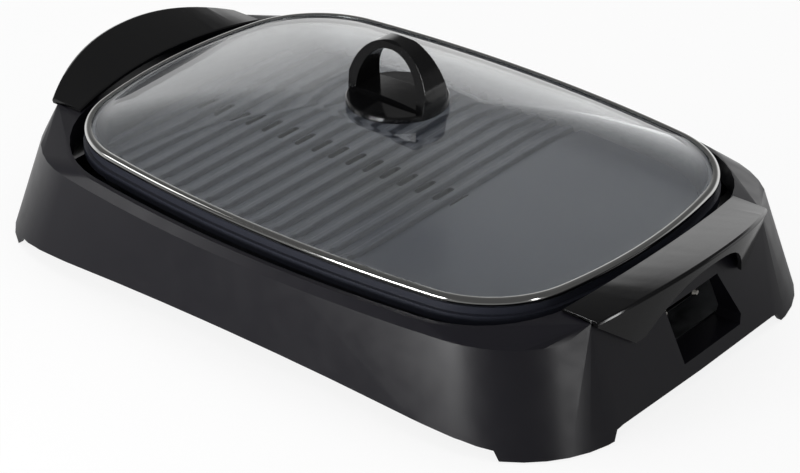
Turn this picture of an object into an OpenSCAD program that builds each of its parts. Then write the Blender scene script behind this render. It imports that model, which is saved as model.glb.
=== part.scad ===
// Electric indoor grill with a lift-off glass lid.
// X runs along the grill to the end with the control socket, Z is up and the table is z = 0.
// Every ring of the grill is a rounded rectangle whose four sides are bowed outwards.

/* [Housing] */
// Half length of the housing at the table
base_half_l = 250.5; // [244:0.5:258]
// Half width of the housing at the table
base_half_w = 168; // [165:0.5:176]
// Corner radius of the housing at the table
base_corner_r = 84; // [78:1:90]
// Half length of the housing at the ridge that tops its wall
ridge_half_l = 232.3; // [231:0.1:236]
// Half width of the housing at the ridge
ridge_half_w = 163.5; // [162:0.5:166]
// Corner radius of the ridge
ridge_corner_r = 82; // [74:1:88]
// Height of the ridge
ridge_z = 67.5; // [66:0.5:69]
// Thickness of the moulded walls
wall_t = 2.8; // [2.2:0.1:3.4]
// Half length of the opening that the plate hangs in
mouth_half_l = 211.5; // [211:0.5:214]
// Half width of the opening
mouth_half_w = 156; // [154:0.5:157]
// Height of the lip round the opening
mouth_z = 72.7; // [72:0.1:74]
// Height of the two end saddles that carry the grips
saddle_z = 76.6; // [76:0.1:77.2]
// Depth of the collar that hangs from the lip into the housing
collar_depth = 15; // [12:1:18]
// Height of the skirt above the table in the middle of a long side
skirt_gap_side = 17; // [14:0.5:19]
// Height of the skirt above the table in the middle of an end
skirt_gap_end = 8; // [6:0.5:10]
// Height of the skirt's four corners above the table
skirt_gap_corner = 1; // [0.6:0.1:1.5]
// Half length of the stretch of long side between two corner feet
notch_half_l = 203; // [190:1:210]
// Half width of the stretch of end between two corner feet
notch_half_w = 88; // [80:1:96]

/* [Socket] */
// Height of the lower edge of the control socket
socket_low_z = 18; // [17:0.5:22]
// Height of the upper edge of the control socket
socket_high_z = 58; // [57:0.5:61]
// Near side of the socket at its upper edge
socket_near_top = -24; // [-28:0.5:-23]
// Near side of the socket at its lower edge
socket_near_low = -15; // [-20:0.5:-12]
// Far side of the socket at its upper edge
socket_far_top = 33; // [28:0.5:36]
// Far side of the socket at its lower edge
socket_far_low = 50; // [44:0.5:52]

/* [Grips] */
// Half width of a grip
grip_half_w = 91.5; // [88:0.5:93]
// Distance of a grip's inner edge from the middle at the grip's ends
grip_inner_x = 205; // [204:0.5:207]
// How far the inner edge bows outwards
grip_inner_bow = 10; // [9:0.5:12]
// Distance of a grip's outer edge from the middle at the grip's ends
grip_outer_x = 232.5; // [230:0.5:235]
// How far the outer edge bows outwards
grip_outer_bow = 23.3; // [18:0.5:26]
// Height of a grip's top at its ends
grip_z = 79; // [78.6:0.1:80]
// How far the outer edge climbs in the middle
grip_outer_rise = 16.5; // [12:0.5:18]
// How far the inner edge climbs in the middle
grip_inner_rise = 6.4; // [4:0.2:8]
// Thickness of the grip's shell
grip_t = 3; // [2.4:0.1:3.4]
// Height of the points where the grip's outer skirt reaches lowest
grip_tip_z = 48.8; // [46:0.5:54]
// Distance of those points from the middle of the grip
grip_tip_y = 55; // [50:1:60]
// Height of the skirt's edge in the middle of the grip
grip_arch_z = 88; // [86:0.5:89]
// How far the skirt leans inwards for each millimetre down
grip_lean = 0.23; // [0.18:0.01:0.26]
// Distance of the grip's two screw bosses from its middle
grip_boss_y = 66; // [62:1:70]
// Diameter of a grip's screw boss
grip_boss_d = 14; // [12:0.5:15]

/* [Cooking plate] */
// Half length of the plate's flange
flange_half_l = 207; // [205:0.5:207.5]
// Half width of the plate's flange
flange_half_w = 145.4; // [144:0.2:147]
// Corner radius of the plate's flange
flange_corner_r = 74; // [70:1:76]
// Height of the bead on the flange
flange_z = 74; // [73.6:0.1:74.4]
// Thickness of the flange
flange_t = 6.5; // [5.5:0.1:7]
// Height of the raised seat that carries the lid
seat_z = 78.9; // [78.5:0.1:79.3]
// Width of the flange outside the seat
seat_inset = 2.6; // [2:0.1:3.2]
// Half length of the cooking surface
well_half_l = 191; // [188:0.5:192]
// Half width of the cooking surface
well_half_w = 130; // [127:0.5:131]
// Height of the floor of the grooves
floor_z = 59; // [58.5:0.1:59.5]
// Thickness of the plate's floor
floor_t = 6; // [5:0.1:6.5]
// Height of the ridges above the groove floor
rib_h = 3.1; // [2.5:0.1:3.5]
// Distance from ridge to ridge
rib_pitch = 15.1; // [14.8:0.1:15.3]
// Width of a ridge at its foot
rib_w = 7.6; // [6.5:0.1:8]
// Number of ridges
rib_n = 16; // [12:1:16]
// Place of the ridge nearest the flat griddle
rib_last_x = 47; // [44:0.5:49]
// Distance from the last ridge to the flat griddle
griddle_gap = 9.5; // [8.5:0.5:11]
// Length of a drain slot
slot_l = 20; // [16:0.5:24]
// Width of a drain slot
slot_w = 5; // [4:0.2:5.4]
// Gap between the lid or the plate and what it rests on
seat_gap = 0.3; // [0.25:0.05:0.4]

/* [Heater] */
// Diameter of the tubular heating element
element_d = 7.4; // [6.6:0.2:8]
// Height of the element and of the terminal pins
element_z = 50; // [49.4:0.1:50.4]
// Distance of each long run of the element from the middle
element_run_y = 68; // [60:1:74]
// Distance of the element's far cross run from the middle
element_far_x = 183; // [180:0.5:183]
// Radius of the element's bends
element_bend_r = 24; // [20:1:26]
// Distance between the two terminal pins
pin_pitch = 34; // [32:0.5:36]
// Diameter of a terminal pin
pin_d = 6; // [5:0.1:6.4]
// Distance of the pins' tips from the middle of the grill
pin_tip_x = 231; // [226:0.5:232]
// Length of a bare terminal pin in front of its insulator
pin_free_l = 26; // [22:0.5:28]
// Diameter of the bore for the control's feeler
feeler_d = 6.6; // [5.6:0.1:7]
// Depth of the bore for the feeler
feeler_l = 60; // [50:1:64]

/* [Lid] */
// Half length of the lid's steel rim
rim_half_l = 206.4; // [205:0.2:206.4]
// Half width of the lid's steel rim
rim_half_w = 144.6; // [143:0.2:144.8]
// Height of the steel rim from edge to edge
rim_h = 6; // [5.6:0.1:6.4]
// Width of the rim's lips
rim_lip = 4.6; // [4:0.1:5.4]
// Thickness of the rim's sheet
rim_sheet = 0.8; // [0.6:0.1:1]
// Thickness of the glass
glass_t = 4; // [3.6:0.1:4.2]
// Height of the flat crown of the glass
crown_z = 116.5; // [112:0.5:118]
// Diameter of the hole in the glass
glass_hole_d = 7; // [6.4:0.1:8]

/* [Knob] */
// Diameter of the knob's round foot
knob_d = 69; // [60:0.5:69]
// Height of the knob's round foot
knob_foot_h = 4.6; // [4:0.1:6]
// Height of the knob from the glass to its top
knob_h = 45.5; // [42:0.5:48]
// Half depth of the loop at its foot
loop_foot_y = 12.5; // [10:0.5:14]
// Half depth of the loop at its top
loop_top_y = 6.5; // [5:0.5:8]
// Thickness of the loop at its sides
loop_t = 9; // [8:0.5:10]
// Thickness of the loop at its top
loop_top_t = 5.5; // [5:0.5:7]
// Height of the loop's sill above the foot
sill_h = 3; // [2:0.5:4]

/* [Base and tray] */
// Height of the underside of the steel bottom sheet
bottom_z = 17.5; // [17:0.5:20]
// Thickness of the bottom sheet
bottom_t = 0.9; // [0.8:0.1:1.2]
// Thickness of the drip tray's sheet
tray_t = 1; // [0.8:0.1:1.4]
// Depth of the drip tray
tray_h = 15; // [12:0.5:17]
// Half length of the drip tray
tray_half_l = 176; // [165:1:178]
// Half width of the drip tray
tray_half_w = 112; // [100:1:114]
// Diameter of a rubber foot
foot_d = 18; // [15:0.5:20]
// Height of a rubber foot below its shelf
foot_h = 4.5; // [4:0.5:6]

/* [Hidden] */

// Height of the thin slices that the lofts are stretched over
slice = 0.2;
// Running clearance between pieces that pass each other
clear = 0.4;
// Number of steps in each bowed side, each corner and each small circle
side_steps = 6;
corner_steps = 9;
$fn = 40;

// A ring is [half length, half width, bow of the ends, bow of the long sides, corner radius]
base_ring = [base_half_l, base_half_w, 4, 5, base_corner_r];
ridge_ring = [ridge_half_l, ridge_half_w, 8, 25, ridge_corner_r];
mouth_ring = [mouth_half_l, mouth_half_w, 17, 23, 82];
flange_ring = [flange_half_l, flange_half_w, 28, 21, flange_corner_r];
rim_ring = [rim_half_l, rim_half_w, 28, 21, flange_corner_r];
seat_ring = grow(flange_ring, -seat_inset);
well_ring = [well_half_l, well_half_w, 24, 16, 60];
tray_ring = [tray_half_l, tray_half_w, 4, 4, 40];

rim_z = seat_z + seat_gap;
glass_edge_z = rim_z + (rim_h - glass_t) / 2;
under_z = floor_z - floor_t;
knob_z = crown_z + 0.5;
foot_stem_d = 6;
tray_z = bottom_z + bottom_t + seat_gap;
// Brackets that carry the plate and the pads that stand on them
bracket_z = under_z - 2.6;
bracket_w = 16;
bracket_t = 1.5;
bracket_rim_h = 6;
post_x = 150;
post_y = 139;
pad_y = 112;
pad_d = 12;
// Middles of the rubber feet, counted inwards from the housing's edge at the table
foot_in = [38.5, 44];
foot_x = base_half_l - foot_in[0];
foot_y = base_half_w - foot_in[1];
// Corner bosses for the bottom sheet's screws, counted from the same edge
sheet_screw_in = [50.5, 62];
sheet_screw_x = base_half_l - sheet_screw_in[0];
sheet_screw_y = base_half_w - sheet_screw_in[1];
sheet_inset = 10;
boss_d = 9;
boss_top_z = 42;
web_t = 2.4;
foot_floor_t = 2.4;
// Length of webs and shelves before the housing's form trims them
wall_reach = 60;
// Self-tapping screws of the housing, their pilot holes and their holes in sheet
tapper_d = 3.2;
pilot_d = 3.4;
tapper_hole_d = 4.2;
tapper_head_d = 6.4;
tapper_head_h = 2;
sheet_screw_l = 14;
// Side bosses, counted inwards from the wall at the height of their screws' tips
side_screw_in = 12.4;
side_wall_y = base_half_w + (ridge_half_w - base_half_w) * (bottom_z + sheet_screw_l) / ridge_z;
side_screw_y = side_wall_y - side_screw_in;
// Reach of the tools that cut past a whole piece
cut_far = 60;
bracket_screw_l = 10;
// How far the two end saddles stand in from the ridge
saddle_in = 2.8;
grip_boss_x = 222;
grip_screw_d = 3;
grip_screw_l = 7;
socket_inner_x = 226;
socket_wall_t = 2;
// Air slots in the bottom sheet, in two rows
vent_l = 26;
vent_w = 4;
vent_pitch = 40;
vent_half_n = 3;
vent_y = 60;
// Where the element's stubs end and the pins begin, and where the stubs swerve outwards
element_end_x = 190;
element_in_x = 170;
sleeve_d = 9;
sleeve_x = 204.5;
sleeve_end_t = 1;
// A pin has a thin neck at the element and a shoulder in its insulator, and is bare in front of it
pin_free_x = pin_tip_x - pin_free_l;
pin_neck_d = pin_d - 0.6;
pin_shoulder_d = pin_d + 1.2;
bush_d = 11;
bush_flange_d = bush_d + 2;
bush_flange_t = 2.8;
guard_x = 201.5;
pin_shoulder_x = guard_x - bush_flange_t - 2;
guard_l = 21;
guard_w = 52;
guard_h = 16;
guard_t = 1.2;
guard_low_z = element_z - 9;
tab_x = 186;
tab_y = 29;
tab_w = 10;
tab_end = 6;
tab_top_z = under_z - 0.2;
guard_screw_d = 3;
guard_screw_l = 5;
insert_d = 8;
insert_l = 6.5;
screw_d = 5;
screw_head_d = 9;
screw_head_h = 2.6;
seal_t = 1.5;
washer_t = 1;

function grow(o, d) = [o[0] + d, o[1] + d, o[2], o[3], o[4] + d];
function lerp(p, q, t) = p + (q - p) * t;
function on_arc(c, r, ang) = [c[0] + r * cos(ang), c[1] + r * sin(ang)];

// Centre of the corner arc that meets the bowed end and the bowed long side without a kink
function corner_centre(end_c, end_r, side_c, side_r) =
    let (d = side_c - end_c, l = norm(d), e = d / l)
    let (h = (end_r * end_r - side_r * side_r + l * l) / (2 * l))
    let (k = sqrt(end_r * end_r - h * h))
    end_c + e * h + [-e[1], e[0]] * k;

// Points of the ring's first quarter, from the middle of its end to the middle of its side
function quarter(o) =
    let (end_r = (o[1] * o[1] + o[2] * o[2]) / (2 * o[2]))
    let (side_r = (o[0] * o[0] + o[3] * o[3]) / (2 * o[3]))
    let (end_c = [o[0] - end_r, 0], side_c = [0, o[1] - side_r])
    let (c = corner_centre(end_c, end_r - o[4], side_c, side_r - o[4]))
    let (from_end = atan2(c[1], c[0] - end_c[0]))
    let (from_side = atan2(c[1] - side_c[1], c[0]))
    concat(
        [for (i = [0 : side_steps - 1]) on_arc(end_c, end_r, from_end * i / side_steps)],
        [for (i = [0 : corner_steps]) on_arc(c, o[4], lerp(from_end, from_side, i / corner_steps))],
        [for (i = [1 : side_steps]) on_arc(side_c, side_r, lerp(from_side, 90, i / side_steps))]
    );

function ring_points(o) =
    let (q = quarter(o), n = len(q))
    concat(
        q,
        [for (i = [n - 2 : -1 : 0]) [-q[i][0], q[i][1]]],
        [for (i = [1 : n - 1]) [-q[i][0], -q[i][1]]],
        [for (i = [n - 2 : -1 : 1]) [q[i][0], -q[i][1]]]
    );

module ring(o) {
    polygon(ring_points(o));
}

module slab(o, z, h) {
    translate([0, 0, z])
        linear_extrude(h)
            ring(o);
}

module at(x, y, z) {
    translate([x, y, z])
        children();
}

// Places its child at (x, y) and mirrors it into the other three quarters
module four(x, y) {
    for (mx = [0, 1], my = [0, 1])
        mirror([mx, 0, 0])
            mirror([0, my, 0])
                translate([x, y, 0])
                    children();
}

// Mirrors its child to the other side of the grill's long middle plane
module both_sides() {
    for (my = [0, 1])
        mirror([0, my, 0])
            children();
}

// Solid of the housing's outer form, drawn in by a wall thickness where inset is not zero
module housing_form(inset) {
    hull() {
        slab(grow(base_ring, -inset), -inset, slice);
        slab(grow(ridge_ring, -inset), ridge_z - inset - slice, slice);
        slab(grow(mouth_ring, 3 - inset), mouth_z - inset - slice, slice);
        at(0, 0, saddle_z - inset - slice)
            linear_extrude(slice)
                saddle_plan(inset);
    }
}

// Plan of the two saddles, whose ends are bowed as the ridge is
module saddle_plan(inset) {
    ys = [for (i = [-side_steps : side_steps]) (grip_half_w - inset) * i / side_steps];
    end_points = [for (y = ys) [end_x(ridge_ring, y) - saddle_in - inset, y]];
    polygon(concat(end_points, [for (p = end_points) -p]));
}

// Prism through the long sides that lifts the skirt off the table between the feet
module side_notch() {
    rise = skirt_gap_side - 8;
    rotate([90, 0, 0])
        linear_extrude(2 * base_half_w + 20, center = true)
            polygon(concat(
                [[notch_half_l + 5, -1], [notch_half_l + 4, 1.2], [notch_half_l, 7]],
                [for (i = [-9 : 9]) [-i * notch_half_l / 10, 8 + rise * (1 - pow(i / 10, 2))]],
                [[-notch_half_l, 7], [-notch_half_l - 4, 1.2], [-notch_half_l - 5, -1]]
            ));
}

module end_notch() {
    rotate([90, 0, 90])
        linear_extrude(2 * base_half_l + 20, center = true)
            polygon([
                [-notch_half_w - 5, -1], [-notch_half_w - 4, 1.2], [-notch_half_w, skirt_gap_end - 1],
                [-notch_half_w + 6, skirt_gap_end], [notch_half_w - 6, skirt_gap_end],
                [notch_half_w, skirt_gap_end - 1], [notch_half_w + 4, 1.2], [notch_half_w + 5, -1]
            ]);
}

module socket_outline(extra) {
    polygon([
        [socket_near_low - extra, socket_low_z - extra],
        [socket_far_low - 3, socket_low_z - extra],
        [socket_far_low + extra, socket_low_z + 6],
        [socket_far_top + extra, socket_high_z + extra],
        [socket_near_top - extra, socket_high_z + extra]
    ]);
}

module socket_cut(extra, depth) {
    at(base_half_l + 5 - depth, 0, 0)
        rotate([90, 0, 90])
            linear_extrude(depth)
                socket_outline(extra);
}

// Boss over a screw of the bottom sheet, tied to the wall by one web, or by two in a corner
module sheet_boss(corner) {
    low_z = bottom_z + bottom_t;
    difference() {
        union() {
            translate([0, 0, low_z])
                cylinder(h = boss_top_z - low_z, d = boss_d);
            translate([-web_t / 2, 0, low_z + 1])
                cube([web_t, wall_reach, boss_top_z - low_z - 1]);
            if (corner)
                translate([0, -web_t / 2, low_z + 1])
                    cube([wall_reach, web_t, boss_top_z - low_z - 1]);
        }
        translate([0, 0, low_z - 1])
            cylinder(h = sheet_screw_l + 3, d = pilot_d);
    }
}

module housing() {
    color("#1b1a1d") {
        difference() {
            housing_form(0);
            housing_form(wall_t);
            slab(grow(base_ring, cut_far), -cut_far, cut_far + skirt_gap_corner);
            slab(mouth_ring, ridge_z / 2, cut_far);
            side_notch();
            end_notch();
            socket_cut(0, 45);
            four(grip_boss_x, grip_boss_y)
                at(0, 0, saddle_z - 2 * wall_t)
                    cylinder(h = 3 * wall_t, d = pilot_d);
        }
        intersection() {
            housing_form(wall_t / 2);
            union() {
                collar();
                socket_walls();
                four(sheet_screw_x, sheet_screw_y)
                    sheet_boss(true);
                both_sides()
                    at(0, side_screw_y, 0)
                        sheet_boss(false);
                four(post_x, post_y)
                    bracket_shelf();
                four(foot_x, foot_y)
                    foot_shelf();
            }
        }
    }
}

// Collar that hangs from the lip of the opening, cut away over the terminals
module collar() {
    difference() {
        slab(grow(mouth_ring, wall_t - 0.6), mouth_z - collar_depth, collar_depth + 5);
        slab(mouth_ring, mouth_z - collar_depth - 1, collar_depth + 8);
        socket_cut(0, 80);
    }
}

// Walls that lead inwards from the edge of the socket
module socket_walls() {
    difference() {
        intersection() {
            socket_cut(socket_wall_t, base_half_l + 5 - socket_inner_x);
            at(0, -base_half_w, socket_low_z - 3)
                cube([base_half_l, 2 * base_half_w, base_half_w]);
        }
        socket_cut(0, base_half_l + 15 - socket_inner_x);
    }
}

// Moulded step on the side wall that carries a bracket of the plate
module bracket_shelf() {
    shelf_h = bracket_screw_l + 4;
    difference() {
        translate([-bracket_w / 2 - 1, -6, bracket_z - shelf_h])
            cube([bracket_w + 2, wall_reach, shelf_h - bracket_t]);
        translate([0, 0, bracket_z - shelf_h + 1])
            cylinder(h = shelf_h, d = pilot_d);
    }
}

// Cup that holds a rubber foot, tied to the walls of the corner by two webs
module foot_shelf() {
    cup_h = 11;
    web_h = 8;
    difference() {
        union() {
            translate([0, 0, foot_h])
                cylinder(h = cup_h, d = foot_d + 8);
            translate([0, -web_t / 2, foot_h + cup_h - web_h])
                cube([wall_reach, web_t, web_h]);
            translate([-web_t / 2, 0, foot_h + cup_h - web_h])
                cube([web_t, wall_reach, web_h]);
        }
        translate([0, 0, foot_h + foot_floor_t])
            cylinder(h = cup_h, d = foot_d + 3);
        translate([0, 0, foot_h - 1])
            cylinder(h = foot_floor_t + 2, d = foot_stem_d + clear);
    }
}

module screw(d, l, head_d, head_h) {
    cylinder(h = l, d = d);
    translate([0, 0, -head_h])
        difference() {
            cylinder(h = head_h, d = head_d);
            for (a = [0, 90])
                rotate([0, 0, a])
                    translate([-head_d * 0.3, -0.5, -0.1])
                        cube([head_d * 0.6, 1, head_h * 0.6]);
        }
}

module bottom_sheet() {
    color("#8d9093")
        difference() {
            slab(grow(base_ring, -sheet_inset), bottom_z, bottom_t);
            four(sheet_screw_x, sheet_screw_y)
                at(0, 0, bottom_z - 1)
                    cylinder(h = bottom_t + 2, d = tapper_hole_d);
            both_sides()
                at(0, side_screw_y, bottom_z - 1)
                    cylinder(h = bottom_t + 2, d = tapper_hole_d);
            // Rows of air slots below the tray
            for (i = [-vent_half_n : vent_half_n], sy = [-1, 1])
                translate([i * vent_pitch - vent_l / 2, sy * vent_y - vent_w / 2, bottom_z - 1])
                    cube([vent_l, vent_w, bottom_t + 2]);
            // Room for the walls of the socket
            translate([socket_inner_x - socket_wall_t, socket_near_low - 4 * socket_wall_t, bottom_z - 1])
                cube([base_half_l, socket_far_low - socket_near_low + 8 * socket_wall_t, bottom_t + 2]);
        }
}

module bottom_screws() {
    color("#6f7276") {
        four(sheet_screw_x, sheet_screw_y)
            at(0, 0, bottom_z)
                screw(tapper_d, sheet_screw_l, tapper_head_d, tapper_head_h);
        both_sides()
            at(0, side_screw_y, bottom_z)
                screw(tapper_d, sheet_screw_l, tapper_head_d, tapper_head_h);
    }
}

module rubber_feet() {
    color("#141414")
        four(foot_x, foot_y) {
            rotate_extrude()
                polygon([[0, 0], [foot_d / 2 - 1.5, 0], [foot_d / 2, 1.5], [foot_d / 2, foot_h], [0, foot_h]]);
            cylinder(h = foot_h + foot_floor_t, d = foot_stem_d);
            at(0, 0, foot_h + foot_floor_t)
                cylinder(h = 1.6, d1 = foot_stem_d + 2.5, d2 = foot_stem_d + 0.5);
        }
}

module drip_tray() {
    color("#a9abad")
        difference() {
            union() {
                slab(tray_ring, tray_z, tray_h);
                slab(grow(tray_ring, 5), tray_z + tray_h - tray_t, tray_t);
            }
            slab(grow(tray_ring, -tray_t), tray_z + tray_t, tray_h);
        }
}

function bulge(y, n) = 1 - pow(min(1, abs(y) / grip_half_w), n);
function outer_x(y) = grip_outer_x + grip_outer_bow * bulge(y, 2.14);
function outer_z(y) = grip_z + grip_outer_rise * bulge(y, 2.14);
function inner_x(y) = grip_inner_x + grip_inner_bow * bulge(y, 2);
function inner_z(y) = grip_z + grip_inner_rise * bulge(y, 2);

// Height of the lower edge of a grip's skirt: down to the two tips, then up in an arch
function skirt_z(y) =
    abs(y) > grip_tip_y
        ? lerp(grip_tip_z, grip_z - 1.2 * grip_t, (abs(y) - grip_tip_y) / (grip_half_w - grip_tip_y))
        : grip_arch_z - (grip_arch_z - grip_tip_z) * pow(abs(y) / grip_tip_y, 2.7);

// Radius of a ring's bowed ends, and how far a bowed end lies from the middle at y
function end_r(o) = (o[1] * o[1] + o[2] * o[2]) / (2 * o[2]);
function end_x(o, y) = o[0] - end_r(o) + sqrt(pow(end_r(o), 2) - y * y);

// Distance of the housing's end wall from the middle, at y and height z
function wall_x(y, z) =
    z > ridge_z
        ? end_x(ridge_ring, y) - saddle_in * min(1, (z - ridge_z) / (saddle_z - ridge_z))
        : let (t = z / ridge_z, r = lerp(end_r(base_ring), end_r(ridge_ring), t))
            lerp(base_half_l, ridge_half_l, t) - r + sqrt(r * r - y * y);

// Section of the grip at y: a sloping top, the leaning outer skirt and an inner lip, clear of the housing
function grip_section(y) =
    let (xo = outer_x(y), zo = outer_z(y), xi = inner_x(y), zi = inner_z(y), zs = skirt_z(y))
    let (xs = xo - grip_lean * (zo - zs), rest_z = saddle_z + seat_gap)
    let (zb = max(zs + 0.2, zo - 1.1 * grip_t, rest_z), xb = xo - grip_lean * (zo - zb) - grip_t)
    concat(
        [[xi + 1, zi], [xo - 2, zo], [xo - 0.5, zo - 0.5], [xo, zo - 1.8], [xs, zs]],
        [for (t = [0 : 0.25 : 1])
            let (z = lerp(zs, zb, t))
                [max(lerp(xs - grip_t, xb, t), wall_x(y, z) + seat_gap), z]],
        [[xi + grip_t, max(zi - grip_t, rest_z)], [xi, max(zi - grip_t, rest_z)], [xi, zi - 0.8]]
    );

module grip_shell() {
    steps = 28;
    ys = [for (i = [0 : steps]) grip_half_w * (2 * i / steps - 1)];
    m = len(grip_section(0));
    pts = [for (y = ys) each [for (p = grip_section(y)) [p[0], y, p[1]]]];
    sides = [for (i = [0 : steps - 1], j = [0 : m - 1])
        let (a = i * m + j, b = i * m + (j + 1) % m)
            each [[a, b + m, b], [a, a + m, b + m]]];
    polyhedron(
        points = pts,
        faces = concat(
            [[for (j = [0 : m - 1]) j]],
            sides,
            [[for (j = [m - 1 : -1 : 0]) steps * m + j]]
        ),
        convexity = 6
    );
}

module grip() {
    difference() {
        union() {
            grip_shell();
            for (sy = [-1, 1])
                at(grip_boss_x, sy * grip_boss_y, saddle_z + seat_gap)
                    cylinder(h = inner_z(grip_boss_y) - saddle_z - 1, d = grip_boss_d);
        }
        for (sy = [-1, 1])
            at(grip_boss_x, sy * grip_boss_y, saddle_z - 1)
                cylinder(h = grip_screw_l - wall_t + 2, d = grip_screw_d + clear / 2);
    }
}

module grip_right() {
    color("#121214")
        grip();
}

module grip_left() {
    color("#121214")
        mirror([1, 0, 0])
            grip();
}

// Slot with round ends, l long and w wide
module slot_hole(x, y, l, w, z, h) {
    at(x, y, z) {
        translate([-w / 2, -(l - w) / 2, 0])
            cube([w, l - w, h]);
        for (sy = [-1, 1])
            translate([0, sy * (l - w) / 2, 0])
                cylinder(h = h, d = w);
    }
}

// Plan of the element's route, drawn w wide: two stubs, two swerves outwards and one long loop
module element_plan(w) {
    half = pin_pitch / 2;
    r = element_bend_r;
    for (sy = [-1, 1]) {
        run(element_in_x, element_end_x, sy * half, w);
        bend(element_in_x, sy * (half + r), r, w, sy > 0 ? 180 : 90);
        translate([element_in_x - r - w / 2, min(sy * (half + r), sy * (element_run_y - r))])
            square([w, element_run_y - 2 * r - half]);
        bend(element_in_x - 2 * r, sy * (element_run_y - r), r, w, sy > 0 ? 0 : 270);
        run(r - element_far_x, element_in_x - 2 * r, sy * element_run_y, w);
        bend(r - element_far_x, sy * (element_run_y - r), r, w, sy > 0 ? 90 : 180);
    }
    translate([-element_far_x - w / 2, r - element_run_y])
        square([w, 2 * (element_run_y - r)]);
}

module run(x0, x1, y, w) {
    translate([x0, y - w / 2])
        square([x1 - x0, w]);
}

module bend(x, y, r, w, ang) {
    translate([x, y])
        rotate(ang)
            intersection() {
                difference() {
                    circle(r = r + w / 2);
                    circle(r = r - w / 2);
                }
                square(r + w);
            }
}

module rod_x(x0, x1, y, z, d) {
    at(x0, y, z)
        rotate([0, 90, 0])
            cylinder(h = x1 - x0, d = d);
}

module rod_y(x, y0, y1, z, d) {
    at(x, y0, z)
        rotate([-90, 0, 0])
            cylinder(h = y1 - y0, d = d);
}

module elbow(x, y, r, d, ang) {
    at(x, y, element_z)
        rotate([0, 0, ang])
            rotate_extrude(angle = 90)
                translate([r, 0])
                    circle(d = d);
}

// The element as a round tube of diameter d
module element_tube(d) {
    half = pin_pitch / 2;
    r = element_bend_r;
    for (sy = [-1, 1]) {
        rod_x(element_in_x, element_end_x, sy * half, element_z, d);
        elbow(element_in_x, sy * (half + r), r, d, sy > 0 ? 180 : 90);
        rod_y(element_in_x - r, min(sy * (half + r), sy * (element_run_y - r)),
            max(sy * (half + r), sy * (element_run_y - r)), element_z, d);
        elbow(element_in_x - 2 * r, sy * (element_run_y - r), r, d, sy > 0 ? 0 : 270);
        rod_x(r - element_far_x, element_in_x - 2 * r, sy * element_run_y, element_z, d);
        elbow(r - element_far_x, sy * (element_run_y - r), r, d, sy > 0 ? 90 : 180);
    }
    rod_y(-element_far_x, r - element_run_y, element_run_y - r, element_z, d);
}

module well_form() {
    hull() {
        slab(well_ring, floor_z, slice);
        slab(grow(seat_ring, -5.4), seat_z + 1, slice);
    }
}

module ridges() {
    intersection() {
        slab(grow(well_ring, 2), floor_z - 0.5, rib_h + 1);
        for (i = [0 : rib_n - 1])
            at(rib_last_x - i * rib_pitch, 0, floor_z)
                rotate([90, 0, 0])
                    linear_extrude(2 * well_half_w + 10, center = true)
                        polygon([
                            [-rib_w / 2, -0.5], [rib_w / 2, -0.5], [rib_w / 2, 0], [rib_w * 0.32, rib_h - 0.5],
                            [rib_w * 0.22, rib_h], [-rib_w * 0.22, rib_h], [-rib_w * 0.32, rib_h - 0.5],
                            [-rib_w / 2, 0]
                        ]);
    }
}

module grill_plate() {
    griddle_x = rib_last_x + griddle_gap;
    color("#34353a") {
        difference() {
            union() {
                hull() {
                    slab(grow(well_ring, 4), under_z, slice);
                    slab(grow(seat_ring, -2), flange_z - flange_t, slice);
                }
                slab(flange_ring, flange_z - flange_t, flange_t);
                slab(seat_ring, flange_z - 1, seat_z - flange_z + 1);
                // Bead that holds the element, boss for the feeler and pads that stand on the brackets
                at(0, 0, element_z - 1.5)
                    linear_extrude(floor_z - element_z)
                        element_plan(element_d + 4.6);
                rod_x(sleeve_x - feeler_l - 6, element_end_x + 4, 0, element_z, sleeve_d + 5);
                four(post_x, pad_y)
                    at(0, 0, bracket_z + seat_gap)
                        cylinder(h = floor_z - bracket_z - 1, d = pad_d);
            }
            well_form();
            for (i = [0 : rib_n - 1])
                slot_hole(rib_last_x - (i - 0.5) * rib_pitch, 0, slot_l, slot_w, under_z - 6, 20);
            at(0, 0, element_z - element_d)
                linear_extrude(1.5 * element_d + clear / 2)
                    element_plan(element_d + clear);
            rod_x(sleeve_x - feeler_l - sleeve_end_t - clear, sleeve_x, 0, element_z, sleeve_d + clear);
            for (sy = [-1, 1])
                at(tab_x, sy * tab_y, under_z - 1)
                    cylinder(h = 5.5, d = guard_screw_d);
        }
        ridges();
        // Flat griddle beside the ridges
        intersection() {
            slab(grow(well_ring, 2), floor_z - 0.5, rib_h);
            translate([griddle_x, -2 * well_half_w, floor_z - 1])
                cube([well_half_l, 4 * well_half_w, 2 * rib_h]);
        }
    }
}

module heating_element() {
    color("#4a4541")
        element_tube(element_d);
}

module terminal_pin(y) {
    color("#c9cbcd") {
        rod_x(element_end_x, pin_shoulder_x, y, element_z, pin_neck_d);
        rod_x(pin_shoulder_x, pin_free_x, y, element_z, pin_shoulder_d);
        rod_x(pin_free_x, pin_tip_x - pin_d / 3, y, element_z, pin_d);
        at(pin_tip_x - pin_d / 3, y, element_z)
            rotate([0, 90, 0])
                cylinder(h = pin_d / 3, d1 = pin_d, d2 = pin_d * 0.5);
    }
}

module terminal_pin_front() {
    terminal_pin(-pin_pitch / 2);
}

module terminal_pin_back() {
    terminal_pin(pin_pitch / 2);
}

module ceramic_bushes() {
    color("#e8e2d4")
        for (sy = [-1, 1])
            difference() {
                union() {
                    rod_x(guard_x - bush_flange_t, guard_x, sy * pin_pitch / 2, element_z, bush_flange_d);
                    rod_x(guard_x, pin_free_x, sy * pin_pitch / 2, element_z, bush_d);
                }
                rod_x(guard_x - 2 * bush_flange_t, pin_tip_x, sy * pin_pitch / 2, element_z,
                    pin_shoulder_d + clear / 2);
            }
}

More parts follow.
